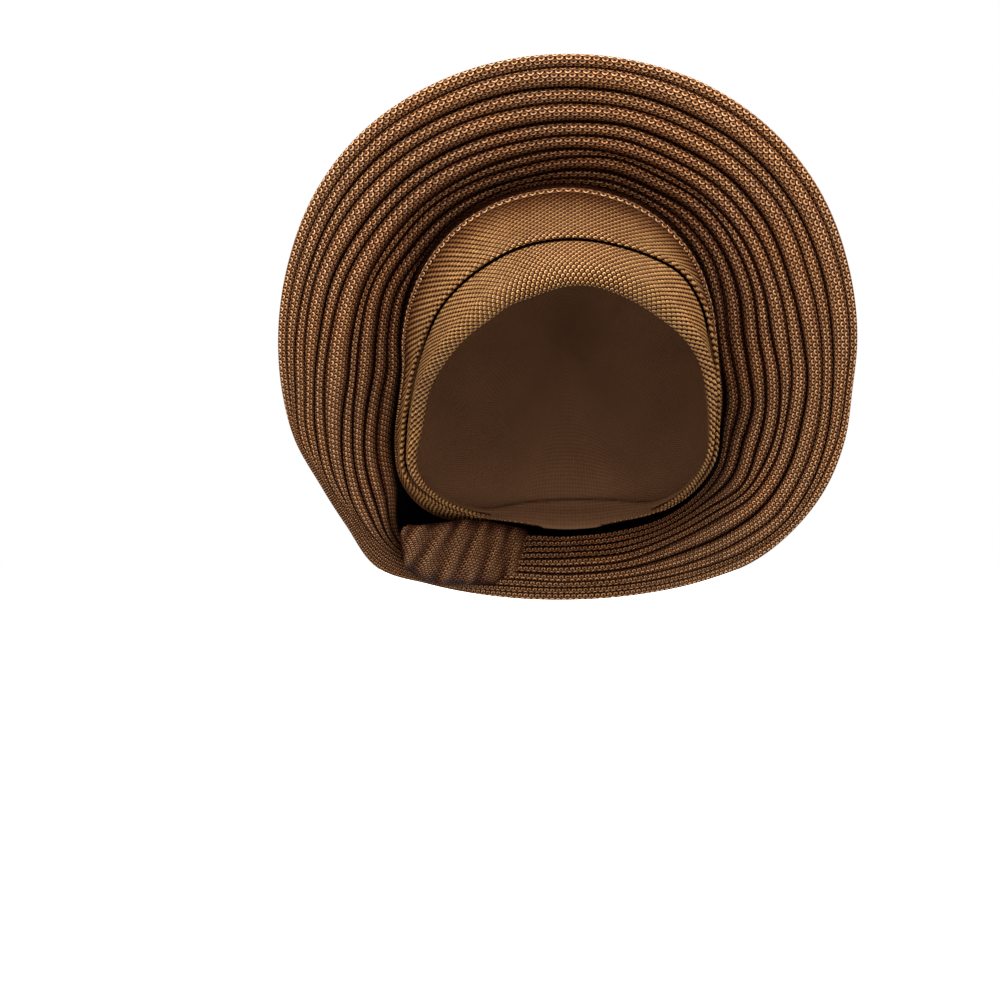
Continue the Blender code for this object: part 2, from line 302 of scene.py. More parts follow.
def smooth_rows(rows, count):
    """Rows of points on one smooth curve through the given rows, evenly spaced."""
    rows = np.array(rows)
    length = np.linalg.norm(np.diff(rows, axis=0), axis=2).mean(axis=1)
    knots = np.concatenate([[0], np.cumsum(length)])
    slopes = np.gradient(rows, knots, axis=0)
    out = []
    for spot in np.linspace(0, knots[-1], count):
        place = int(np.clip(np.searchsorted(knots, spot, side="right") - 1, 0, len(knots) - 2))
        span = knots[place + 1] - knots[place]
        part = (spot - knots[place]) / span
        out.append(
            eased(rows[place], rows[place + 1], slopes[place] * span, slopes[place + 1] * span, part))
    return np.array(out)


def along_cloth(row, turn=None, spacing=None):
    """How much cloth lies along a row of points from its middle, in weave lengths. spacing
    is a table of how far apart the rings stand; without it the weave isn't stretched."""
    length = np.linalg.norm(np.diff(row, axis=0), axis=1)
    if spacing is not None:
        length = length * (RING_ALONG / at_turn(spacing, (turn[1:] + turn[:-1]) / 2))
    total = np.concatenate([[0], np.cumsum(length)])
    return total - total[len(row) // 2]


def across_cloth(points):
    """How much cloth lies across the rows, from the first row to each point."""
    length = np.linalg.norm(np.diff(points, axis=0), axis=2)
    return np.concatenate([np.zeros((1, points.shape[1])), np.cumsum(length, axis=0)], axis=0)


def cloth_places(along, across, lean=0.0):
    """Places on the cloth for every point; lean shifts the rows sideways, one over another."""
    return np.stack([along + lean * across, across], axis=-1)


def cloth_grid(name, points, weave, fold):
    """A sheet from a block of points, rows by columns, in millimetres. weave lists (first
    row, last row, places on the cloth) so that each roll carries its own stretch of weave;
    fold is the painted shade of each point, from 0 for none to 1 for full."""
    rows, columns = points.shape[0] - 1, points.shape[1] - 1
    bpy.ops.object.select_all(action="DESELECT")
    bpy.ops.mesh.primitive_grid_add(x_subdivisions=columns, y_subdivisions=rows, size=1.0)
    piece = bpy.context.active_object
    piece.name = name
    mesh = piece.data
    mesh.name = name
    flat = np.empty(len(mesh.vertices) * 3)
    mesh.vertices.foreach_get("co", flat)
    column = np.round((flat[0::3] + 0.5) * columns).astype(int)
    row = np.round((flat[1::3] + 0.5) * rows).astype(int)
    mesh.vertices.foreach_set("co", (points[row, column] * MM).ravel())
    corner = np.empty(len(mesh.loops), int)
    mesh.loops.foreach_get("vertex_index", corner)
    face_row = row[corner].reshape(-1, 4).min(axis=1).repeat(4)
    places = np.zeros((len(corner), 2))
    for first, last, cloth in weave:
        mine = (face_row >= first) & (face_row < last)
        places[mine] = cloth[row[corner][mine] - first, column[corner][mine]]
    layer = mesh.uv_layers[0]
    layer.name = "weave"
    layer.data.foreach_set("uv", (places * MM).ravel())
    # The fold attribute holds painted shade, by which the brocade darkens its colour.
    depth = mesh.attributes.new("fold", "FLOAT", "POINT")
    depth.data.foreach_set("value", fold[row, column].astype(np.float32))
    mesh.update()
    return piece


def whole_sheet(name, points, cloth, fold):
    """A sheet with one stretch of weave from its first row to its last."""
    return cloth_grid(name, points, [(0, len(points) - 1, cloth)], fold)


def finish_cloth(piece, thickness, outside, inside, node):
    """Joins the sheet where it meets itself, gives it its thickness and its two faces."""
    bpy.ops.object.select_all(action="DESELECT")
    piece.select_set(True)
    bpy.context.view_layer.objects.active = piece
    bpy.ops.object.mode_set(mode="EDIT")
    bpy.ops.mesh.select_all(action="SELECT")
    bpy.ops.mesh.remove_doubles(threshold=WELD)
    bpy.ops.object.mode_set(mode="OBJECT")
    piece.data.materials.clear()
    piece.data.materials.append(outside)
    piece.data.materials.append(inside)
    wall = piece.modifiers.new("wall", "SOLIDIFY")
    wall.thickness = thickness * MM
    wall.offset = -1.0
    wall.material_offset = 1
    bpy.ops.object.modifier_apply(modifier=wall.name)
    bpy.ops.object.shade_smooth()
    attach(piece, "root")
    if node:
        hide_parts(node)


# ---- the pleated fan ----

FAN_COLUMNS = 300
ROLL_STEPS = 9
# The weave starts this much further along on each roll, and this many rows of rings before
# the roll's middle.
ROLL_SHIFT = 1.7
ROLL_ROWS_BEFORE = 7


def fan_sheet(outside, inside):
    """The rolls one after the other from the cap out to the rim, then over it to the back."""
    turn = all_round(FAN_COLUMNS)
    names = list(FOLD_RADIUS)[::-1]
    radii = [at_turn(FOLD_RADIUS[name], turn) for name in names]
    for k, name in enumerate(names):
        if name not in ("rim", "gap"):
            radii[k] = radii[k] + wander(turn, FOLD_SEED + k, FOLD_WANDER)
    start, stop = at_turn(FAN_DEPTH["gap"], turn), at_turn(FAN_DEPTH["rim"], turn)
    open_gap = np.clip((GAP_SHUT_FROM - np.abs(turn)) / GAP_FADE, 0, 1)
    # folds holds painted shade: full on the seat deep in the gap.
    rows, folds = [off_cap(turn, FAN_SEAT, SEAT_ROOM)], [np.ones_like(turn)]
    rolls = len(names) - 1
    for k in range(rolls):
        inner, outer = radii[k], radii[k + 1]
        rise = np.minimum(ROLL_MOST, ROLL_RISE * (outer - inner))
        rise = rise * (1 + wander(turn, RISE_SEED + k, RISE_WANDER))
        for part in np.arange(ROLL_STEPS) / ROLL_STEPS:
            radius = inner + (outer - inner) * (0.5 - 0.5 * np.cos(np.pi * part))
            way = (radius - radii[0]) / (radii[-1] - radii[0])
            low = np.clip(1 - way / GAP_REACH, 0, 1)
            deeper = GAP_DEEPER * open_gap * low * low * (3 - 2 * low)
            base = start + (stop - start) * way**BOWL_CURVE + ROLL_LEVEL + deeper
            floor = FOLD_DIP[names[k]] * (1 - part) + FOLD_DIP[names[k + 1]] * part
            beside_gap = np.minimum(floor, GAP_FLOOR + GAP_FLOOR_OPEN * open_gap)
            floor = np.where(way < GAP_BESIDE, beside_gap, floor)
            open_face = np.sin(np.pi * part)
            depth = base - rise * (1 - floor * (1 - open_face**ROLL_ROUND))
            rows.append(placed(turn, radius, depth))
            # Painted shade: dark along the fold lines, fading over the open face of each roll, with more
            # added on the inner rolls.
            valley = np.minimum(1.0, FOLD_SHADE + (1 - FOLD_SHADE) * floor)
            folds.append((1 - open_face) * valley + FAN_SHADE * (1 - way))
    size = at_turn(RIM_SIZE, turn)
    # Where the last roll already reaches behind the rim, the turn over it starts further back.
    past_rim = np.maximum(depth - stop + RIM_ROOM, 0)
    for k, (inward, behind) in enumerate(RIM_STEPS):
        further = past_rim * max(0.0, 1 - k / RIM_EASE)
        rows.append(placed(turn, radii[-1] - inward * size, stop + behind * size + further))
        folds.append(np.zeros_like(turn))
    points = np.array(rows)
    across = across_cloth(points)
    cloth = [(0, 1, np.zeros((2, len(turn), 2)))]
    for k in range(rolls):
        low = 1 + k * ROLL_STEPS
        end = low + ROLL_STEPS if k < rolls - 1 else len(points) - 1
        middle = low + ROLL_STEPS // 2
        along = along_cloth(points[middle], turn, RING_STEP) + ROLL_SHIFT * k
        over = across[low : end + 1] - across[middle] + ROLL_ROWS_BEFORE * RING_ACROSS
        cloth.append((low, end, cloth_places(along, over)))
    piece = cloth_grid("fan_rolls", points, cloth, np.array(folds))
    finish_cloth(piece, CLOTH, outside, inside, "pleated_fan")
    return piece


# ---- the cap and the band ----

CAP_COLUMNS = 240
# The crease is a dark slot this wide on each side of its line, as it looks in the picture.
CREASE_HALF = (0.4, 0.4, 0.4, 0.4, 0.4, 0.45, 0.45, 0.45, 0.45, 0.45, 0.45, 0.45, 0.45, 0.45,
               0.45, 0.45, 0.45, 0.45, 0.45, 0.45, 0.45, 0.45, 0.4, 0.4, 0.4, 0.4, 0.4, 0.4)
# Each side of the slot takes at least and at most this share of the cloth beside it, and
# that cloth is taken to be at least so wide.
CREASE_SHARE = (0.02, 0.22)
LEAST_WIDTH = 0.5
# The cap's hem: how far back from the slot, in rings, and how far off the cap.
CAP_HEM = ((0.20, 0.1), (0.10, 0.0), (0.03, 0.05), (0.0, 0.45), (-0.01, 1.1), (0.01, 1.75), (0.05, 2.2))
# Painted shade on the hem's first rows, turned under into the slot.
HEM_SHADE = (1.0, 1.0, 0.8, 0.4)
HEM_SEED, HEM_WANDER = 7, 0.1
HEM_RISE = 2.3
HEM_FADE, HEM_FALL = 0.45, 1.5
# The seen part of the cap runs between these rings, and the rest of it to where it closes.
FRONT_START, FRONT_END = 0.10, 1.3
FRONT_ROWS = 26
REST_OF_CAP = (*np.linspace(1.4, 3.9, 22), 4.0)
# The doubled edge along the deep gap lies on this ring, and the cap gets painted shade that grows towards
# it.
EDGE_RING = 0.905
CAP_SHADE = ((0.0, 0.0), (0.3, 0.25), (0.6, 0.5), (EDGE_RING - 0.04, 0.72), (EDGE_RING, 1.0))
# The weave leans outwards on both sides, and its rings stand this far apart in the picture.
CLOTH_LEAN = 0.62
CAP_STEP = (3.4, 3.4, 3.4, 3.4, 3.4, 3.4, 3.5, 3.7, 3.9, 4.1, 4.3, 4.4, 4.5, 4.5,
            4.5, 4.4, 4.3, 4.1, 3.9, 3.7, 3.5, 3.4, 3.4, 3.4, 3.4, 3.4, 3.4, 3.4)
# The row of points along which the weave of the cap and of the band is measured.
WEAVE_ROW = 12

# The band's hem and its tuck under the cap: how far along the band, and how far under it.
BAND_HEM = ((7, 2.6), (3.5, 2.5), (1.2, 2.2), (0.1, 1.4))
BAND_EDGE_UNDER = 0.3
BAND_HEM_WIDTH = 12
# Painted shade on the hem's rows turned under at the edge.
BAND_HEM_SHADE = 0.8
BAND_TUCK = ((0.6, 1.2), (0.9, 3.2), (1.6, 5.2), (3.6, 6.4), (7.0, 6.8), (12.0, 6.6))
BAND_TUCK_UNDER = 0.71
# Painted shade on the tuck's rows under the cap.
BAND_TUCK_SHADE = (0.25, 0.7, 1.0, 1.0, 1.0, 1.0, 1.0)
# Between them the band swells outwards, most towards its front, and its edge rolls over.
BAND_ROWS = 20
BAND_SWELL, SWELL_FRONT, SWELL_WIDTH = 2.9, 0.72, 16
BAND_LIFT = 0.4
BAND_ROLL, ROLL_TO = 1.5, 0.42
BAND_ROWS_BEFORE = 5


def crease_room(turn, inner, outer):
    """Half the slot's width as a share of the cloth between two rings beside it."""
    across = at_turn(CAP_RADIUS[outer], turn) - at_turn(CAP_RADIUS[inner], turn)
    return np.clip(at_turn(CREASE_HALF, turn) / np.maximum(across, LEAST_WIDTH), *CREASE_SHARE)


def cap_sheet(outside, inside):
    """The cap, from its hem turned under at the crease over the crown to the back."""
    turn = all_round(CAP_COLUMNS)
    room = crease_room(turn, "crease", "gap")
    rows = [
        off_cap(turn, room + ring, away + wander(turn, HEM_SEED, HEM_WANDER)) for ring, away in CAP_HEM]
    rings = [0.0] * len(rows)
    for part in np.linspace(0, 1, FRONT_ROWS):
        ring = (room + FRONT_START) * (1 - part) + FRONT_END * part
        rows.append(off_cap(turn, ring, HEM_RISE * max(0.0, 1 - part / HEM_FADE) ** HEM_FALL))
        rings.append(FRONT_END * part)
    for ring in REST_OF_CAP:
        rows.append(off_cap(turn, ring, 0.0))
        rings.append(ring)
    points = np.array(rows)
    across = across_cloth(points)
    along = along_cloth(points[WEAVE_ROW], turn, CAP_STEP)
    cloth = cloth_places(along, across, CLOTH_LEAN * np.sin(np.radians(turn)))
    # Painted shade: on the hem turned under, and growing over the cap towards the deep gap.
    fold = np.zeros(across.shape)
    fold[: len(HEM_SHADE)] = np.array(HEM_SHADE)[:, None]
    fold += np.interp(rings, *zip(*CAP_SHADE))[:, None]
    piece = whole_sheet("cap_cloth_over_head", points, cloth, fold)
    finish_cloth(piece, CLOTH, outside, inside, "crown_cap")
    return piece


def band_sheet(outside, inside):
    """The band across the brow: its edge turned under, its swell, and its tuck at the crease."""
    turn = all_round(CAP_COLUMNS)
    edge = placed(turn, at_turn(CAP_RADIUS["edge"], turn), at_turn(CAP_DEPTH["edge"], turn))
    crease = placed(turn, *cap_section(turn, 0.0))
    stop = crease + (edge - crease) * crease_room(turn, "edge", "crease")[:, None]
    out = placed(turn, 1.0, -1.0) - placed(turn, 0.0, 0.0)
    aside = placed(turn, 1.0, 0.0) - placed(turn, 0.0, 0.0)
    way = stop - edge
    width = np.linalg.norm(way, axis=1, keepdims=True)
    way = way / width
    hem = np.minimum(1.0, width / BAND_HEM_WIDTH)
    rows = [edge + way * onward * hem - out * under * hem for onward, under in BAND_HEM]
    rows.append(edge - out * BAND_EDGE_UNDER)
    for part in np.linspace(0.05, 1, BAND_ROWS):
        swell = BAND_SWELL * np.sin(np.pi * part**SWELL_FRONT) * np.minimum(1.0, width / SWELL_WIDTH)
        roll = BAND_ROLL * hem * np.sin(np.pi * min(1.0, part / ROLL_TO))
        lift = BAND_LIFT * hem * (1 - part)
        rows.append(edge + way * width * part + out * (swell + lift) + aside * roll)
    for onward, under in BAND_TUCK:
        rows.append(stop + way * onward * hem - out * BAND_TUCK_UNDER * under * hem)
    points = np.array(rows)
    across = across_cloth(points)
    across = across - across[[len(BAND_HEM)]] + BAND_ROWS_BEFORE * RING_ACROSS
    along = along_cloth(points[WEAVE_ROW], turn, CAP_STEP)
    cloth = cloth_places(along, across, CLOTH_LEAN * np.sin(np.radians(turn)))
    # Painted shade on the hem turned under and on the tuck under the cap.
    fold = np.zeros(across.shape)
    fold[:3] = BAND_HEM_SHADE
    fold[-len(BAND_TUCK_SHADE) :] = np.array(BAND_TUCK_SHADE)[:, None]
    piece = whole_sheet("band_across_brow", points, cloth, fold)
    finish_cloth(piece, CLOTH, outside, inside, "brow_band")
    return piece


# ---- the thin doubled edge on the cap, just inside the fan ----

# How far along the cap and off it the edge goes, from the cap up, over and down again.
EDGE_PATH = ((-0.035, 0.1), (-0.025, 0.8), (-0.01, 1.4), (0.008, 1.6), (0.022, 1.2), (0.03, 0.5),
             (0.04, 0.1), (0.10, 0.1), (0.20, 0.1))
EDGE_CLOTH = 0.6
EDGE_OFF_CAP = 0.2
EDGE_ROWS = 20
EDGE_CREST_ROW = 8
# From this row on, the edge gets full painted shade.
EDGE_SHADE_FROM = 5
# It is highest over the top, and falls off to this share of its height beyond these turns.
EDGE_LEAST = 0.35
EDGE_MIDDLE, EDGE_LOW_FROM, EDGE_FALL = -6, 112, 25


def edge_fold(outside, inside):
    """A narrow doubled edge of cloth that lies on the cap along the deep gap."""
    turn = all_round(CAP_COLUMNS)
    top = np.clip((EDGE_LOW_FROM - np.abs(turn - EDGE_MIDDLE)) / EDGE_FALL, 0, 1)
    height = EDGE_LEAST + (1 - EDGE_LEAST) * top
    rows = [off_cap(turn, EDGE_RING + ring, away * height + EDGE_OFF_CAP) for ring, away in EDGE_PATH]
    points = smooth_rows(rows, EDGE_ROWS)
    across = across_cloth(points)
    across = across - across[[EDGE_CREST_ROW]] + BAND_ROWS_BEFORE * RING_ACROSS
    along = along_cloth(points[EDGE_CREST_ROW], turn, RING_STEP)
    # Painted shade over the rows from EDGE_SHADE_FROM on.
    fold = np.zeros(across.shape)
    fold[EDGE_SHADE_FROM:] = 1.0
    piece = whole_sheet("thin_edge_fold", points, cloth_places(along, across), fold)
    finish_cloth(piece, EDGE_CLOTH, outside, inside, None)
    return piece


# ---- the back and the tuck ----

# The back cloth bows outwards on its way from under the rim to the cap, then lies on it.
BACK_START = (-7.0, 13.0)
BACK_WAY = (0.0, 0.12, 0.27, 0.44, 0.62, 0.81)
BACK_BOW = (0.0, 3.5, 7.5, 10.5, 10.5, 7.0)
BACK_OUT = (0.6, 0.8)
BACK_ON_CAP = (3.1, 3.5, 4)
BACK_OFF_CAP = 1.6
BACK_COLUMNS = 240
BACK_ROWS = 56
# Its folds fan out from the nape: so many waves to a turn about it, swaying as they go, with
# smaller ones between them, and flatter near the rim and near the nape. What lies lower
# than SHADE_BELOW of a fold is given painted shade.
NAPE_HEIGHT = -222.0
BACK_FOLD = 5.0
FOLD_WAVES, SWAY_WAVES, SWAY = 15, 4, 22
SMALL_WAVES, SMALL_SHIFT, SMALL_SIZE = 31, 40, 0.5
FLAT_FROM_RIM, FLAT_FALL = 35, 1.5
FLAT_FROM_NAPE, FLAT_LEAST = 70, 0.2
BACK_SHADE, SHADE_BELOW = 0.75, 0.55


def back_sheet(outside, inside):
    """The cloth over the back, drawn down in soft folds towards the nape."""
    turn = all_round(BACK_COLUMNS)
    size = at_turn(RIM_SIZE, turn)
    start = placed(
        turn,
        at_turn(FOLD_RADIUS["rim"], turn) + BACK_START[0] * size,
        at_turn(FAN_DEPTH["rim"], turn) + BACK_START[1] * size,
    )
    stop = off_cap(turn, BACK_ON_CAP[0], BACK_OFF_CAP)
    out = placed(turn, *BACK_OUT) - placed(turn, 0.0, 0.0)
    rows = [
        start + (stop - start) * way + out * (bow * size)[:, None]
        for way, bow in zip(BACK_WAY, BACK_BOW)
    ]
    rows += [off_cap(turn, ring, BACK_OFF_CAP) for ring in BACK_ON_CAP]
    points = smooth_rows(rows, BACK_ROWS)
    across = across_cloth(points)
    from_end = across[[-1]] - across
    away = np.hypot(points[..., 0], points[..., 2] - NAPE_HEIGHT)
    lean = np.degrees(np.arctan2(points[..., 0], points[..., 2] - NAPE_HEIGHT))
    sway = SWAY * np.sin(np.radians(lean * SWAY_WAVES))
    waves = np.sin(np.radians(lean * FOLD_WAVES + sway))
    waves = waves + SMALL_SIZE * np.sin(np.radians(lean * SMALL_WAVES + SMALL_SHIFT))
    ridges = np.clip(0.5 + 0.5 * waves, 0, 1.2)
    ridges = ridges * np.clip(across / FLAT_FROM_RIM, 0, 1) ** FLAT_FALL
    ridges = ridges * np.clip(away / FLAT_FROM_NAPE, FLAT_LEAST, 1)
    normal = np.cross(np.gradient(points, axis=1), np.gradient(points, axis=0))
    normal /= np.linalg.norm(normal, axis=2, keepdims=True) + 1e-9
    points = points + normal * (BACK_FOLD * ridges)[..., None]
    points[:, -1] = points[:, 0]
    points[-1] = points[-1].mean(axis=0)
    angle = np.radians(turn)[None, :]
    cloth = np.stack([from_end * np.sin(angle), from_end * np.cos(angle)], axis=-1)
    # Painted shade in the valleys between the folds.
    fold = BACK_SHADE * np.clip(SHADE_BELOW - ridges, 0, 1)
    piece = whole_sheet("back_cloth_over_cap", points, cloth, fold)
    finish_cloth(piece, CLOTH, outside, inside, "back_wrap")
    return piece


# The tuck's patch: its outline at these turns, as radii in the picture.
TUCK_TURN = (-170, -163, -157, -150, -144, -141.5, -139)
TUCK_OUTER = (122, 128, 133, 140, 140, 134, 128)
TUCK_INNER = (96, 97, 98.5, 103, 113, 118, 122)
TUCK_COLUMNS, TUCK_ROWS = 140, 40
# It lies in front of a straight way from just outside the band's edge out to the rim.
TUCK_FROM_EDGE = 3.0
TUCK_OFF_EDGE, TUCK_OFF_RIM = 3.0, 6.0
# Its small gathers, in waves to a turn, and how far its two sides and its far end dive under.
GATHERS, GATHERS_BETWEEN, BETWEEN_SIZE = 78, 131, 0.4
GATHER_SEED, GATHER_WANDER = 3, 0.5
GATHER_HEIGHT = 0.9
OUTER_DIVE, INNER_DIVE = (5.0, 8), (4.0, 6)
TUCK_DIVE, DIVE_FROM, DIVE_OVER = 12.0, -157, 13
# Its painted shade on average, by its gathers, and along both its sides.
TUCK_SHADE, GATHER_SHADE, SIDE_SHADE = 0.51, 0.14, 0.5
# Its weave is this much finer than the rolls'.
TUCK_FINER = 1.5


def tuck_sheet(outside, inside):
    """Cloth gathered in small folds low on the left, over the ends of the rolls."""
    turn = np.linspace(TUCK_TURN[0], TUCK_TURN[-1], TUCK_COLUMNS + 1)
    inner = np.interp(turn, TUCK_TURN, TUCK_INNER)
    outer = np.interp(turn, TUCK_TURN, TUCK_OUTER)
    start = at_turn(CAP_RADIUS["edge"], turn) + TUCK_FROM_EDGE
    rim = at_turn(FOLD_RADIUS["rim"], turn)
    near = at_turn(CAP_DEPTH["edge"], turn) - TUCK_OFF_EDGE
    far = at_turn(FAN_DEPTH["rim"], turn) - TUCK_OFF_RIM
    end_dive = TUCK_DIVE * np.clip((DIVE_FROM - turn) / DIVE_OVER, 0, 1) ** 2
    rows, folds = [], []
    for part in np.linspace(0, 1, TUCK_ROWS):
        radius = inner + (outer - inner) * part
        depth = near + (far - near) * (radius - start) / (rim - start)
        gather = np.sin(np.radians(turn) * GATHERS + 3 * part + wander(turn, GATHER_SEED, GATHER_WANDER))
        gather = gather + BETWEEN_SIZE * np.sin(np.radians(turn) * GATHERS_BETWEEN - 2 * part)
        outer_dive = OUTER_DIVE[0] * part ** OUTER_DIVE[1]
        inner_dive = INNER_DIVE[0] * (1 - part) ** INNER_DIVE[1]
        under = outer_dive + inner_dive + end_dive
        rows.append(placed(turn, radius, depth - GATHER_HEIGHT * gather + under))
        # Painted shade: darker in the hollows of the gathers and along both sides.
        folds.append(TUCK_SHADE - GATHER_SHADE * gather + SIDE_SHADE * np.abs(2 * part - 1) ** 6)
    points = np.array(rows)
    across = across_cloth(points) * TUCK_FINER
    along = along_cloth(points[TUCK_ROWS // 2]) * TUCK_FINER
    piece = whole_sheet("gathered_tuck", points, cloth_places(along, across), np.array(folds))
    finish_cloth(piece, CLOTH, outside, inside, "side_tuck")
    return piece


# ---- the brocade ----

FULL_WAVE = 6.2832
METRE = 1000
# Added to the places on the cloth, so that they are never below 0.
CLOTH_START = 200

# Edges of one scale, counted from its middle: its thread ring inside and outside, the fill,
# the dark eye, the swell of the whole, and where the thread's painted highlight comes in across it.
RING_INSIDE, RING_OUTSIDE = (0.58, 0.96), (1.28, 1.62)
FILL_EDGE = (1.35, 1.75)
EYE_EDGE = (0.35, 0.85)
SWELL_EDGE = (0.9, 2.0)
BRIGHT_SIDE = (-0.5, 0.9)
# The thread's least brightness, and the painted highlight added on its bright side.
LEAST_THREAD, PAINTED_HIGHLIGHT = 0.10, 1.15

# Edges of one slanted stroke and of its fill, counted from its line, how much thread shows
# in it, and how much of a scale's ring it takes away.
STROKE_EDGE, STROKE_FILL = (0.1, 1.0), (0.8, 1.9)
STROKE_THREAD = 0.74
RING_LEFT_OUT = 0.8

# How metallic the thread and the fill are.
GOLD_METAL, FILL_METAL = 0.6, 0.2
# Noise over the wrap, as its scale and detail: how the weave slackens, clouds and specks.
SLACK, CLOUDS, SPECKS = (90.0, 1.0), (22.0, 3.0), (1100.0, 2.0)
# From little painted shade to full painted shade, and how dark full painted shade is.
SHADE_FROM, SHADE_DEPTH = (0.2, 0.95), 0.92
WRONG_SIDE_CLOUDS = (40.0, 3.0)


class Number:
    """A socket that adds Math nodes as it is used in an expression."""

    def __init__(self, shop, socket):
        self.shop = shop
        self.socket = socket

    def _math(self, operation, *others):
        return self.shop.number("ShaderNodeMath", {"operation": operation}, dict(enumerate(others)))

    def __add__(self, other):
        return self._math("ADD", self, other)

    def __radd__(self, other):
        return self._math("ADD", other, self)

    def __sub__(self, other):
        return self._math("SUBTRACT", self, other)

    def __rsub__(self, other):
        return self._math("SUBTRACT", other, self)

    def __mul__(self, other):
        return self._math("MULTIPLY", self, other)

    def __rmul__(self, other):
        return self._math("MULTIPLY", other, self)

    def __truediv__(self, other):
        return self._math("DIVIDE", self, other)

    def __pow__(self, other):
        return self._math("POWER", self, other)

    def __abs__(self):
        return self._math("ABSOLUTE", self)

    def fraction(self):
        return self._math("FRACT", self)

    def whole(self):
        return self._math("FLOOR", self)

    def least(self, other):
        return self._math("MINIMUM", self, other)

    def below(self, other):
        return self._math("LESS_THAN", self, other)

    def root(self):
        return self._math("SQRT", self)

    def sine(self):
        return self._math("SINE", self)

    def ramp(self, low, high):
        """0 up to low and 1 from high, smooth between them."""
        return self.shop.number(
            "ShaderNodeMapRange",
            {"interpolation_type": "SMOOTHSTEP"},
            {"Value": self, "From Min": low, "From Max": high, "To Min": 0.0, "To Max": 1.0},
            "Result",
        )


class Shop:
    """A node tree, emptied, and the one way that nodes are added to it."""

    def __init__(self, tree):
        self.tree = tree
        self.tree.nodes.clear()

    def node(self, kind, settings=None, inputs=None):
        made = self.tree.nodes.new(kind)
        for key, value in (settings or {}).items():
            setattr(made, key, value)
        for key, value in (inputs or {}).items():
            value = value.socket if isinstance(value, Number) else value
            if isinstance(value, bpy.types.NodeSocket):
                self.tree.links.new(value, made.inputs[key])
            else:
                made.inputs[key].default_value = value
        return made

    def number(self, kind, settings=None, inputs=None, output=0):
        return Number(self, self.node(kind, settings, inputs).outputs[output])

    def split(self, vector):
        """The three numbers of a vector."""
        parts = self.node("ShaderNodeSeparateXYZ", {}, {0: vector})
        return [Number(self, output) for output in parts.outputs]

    def noise(self, vector, scale, detail):
        inputs = {"Vector": vector, "Scale": scale, "Detail": detail}
        return self.number("ShaderNodeTexNoise", {}, inputs, "Fac")

    def mixed(self, share, first, second, blend="MIX"):
        settings = {"data_type": "RGBA", "blend_type": blend}
        return self.node("ShaderNodeMix", settings, {0: share, 6: first, 7: second}).outputs[2]

    def surface(self, inputs):
        """Gives the material one Principled surface with these inputs."""
        cover = self.node("ShaderNodeBsdfPrincipled", {}, inputs)
        self.node("ShaderNodeOutputMaterial", {}, {"Surface": cover.outputs[0]})


def new_material(name):
    """A material, and the shop for its nodes."""
    material = bpy.data.materials.new(name)
    material.use_nodes = True
    return material, Shop(material.node_tree)


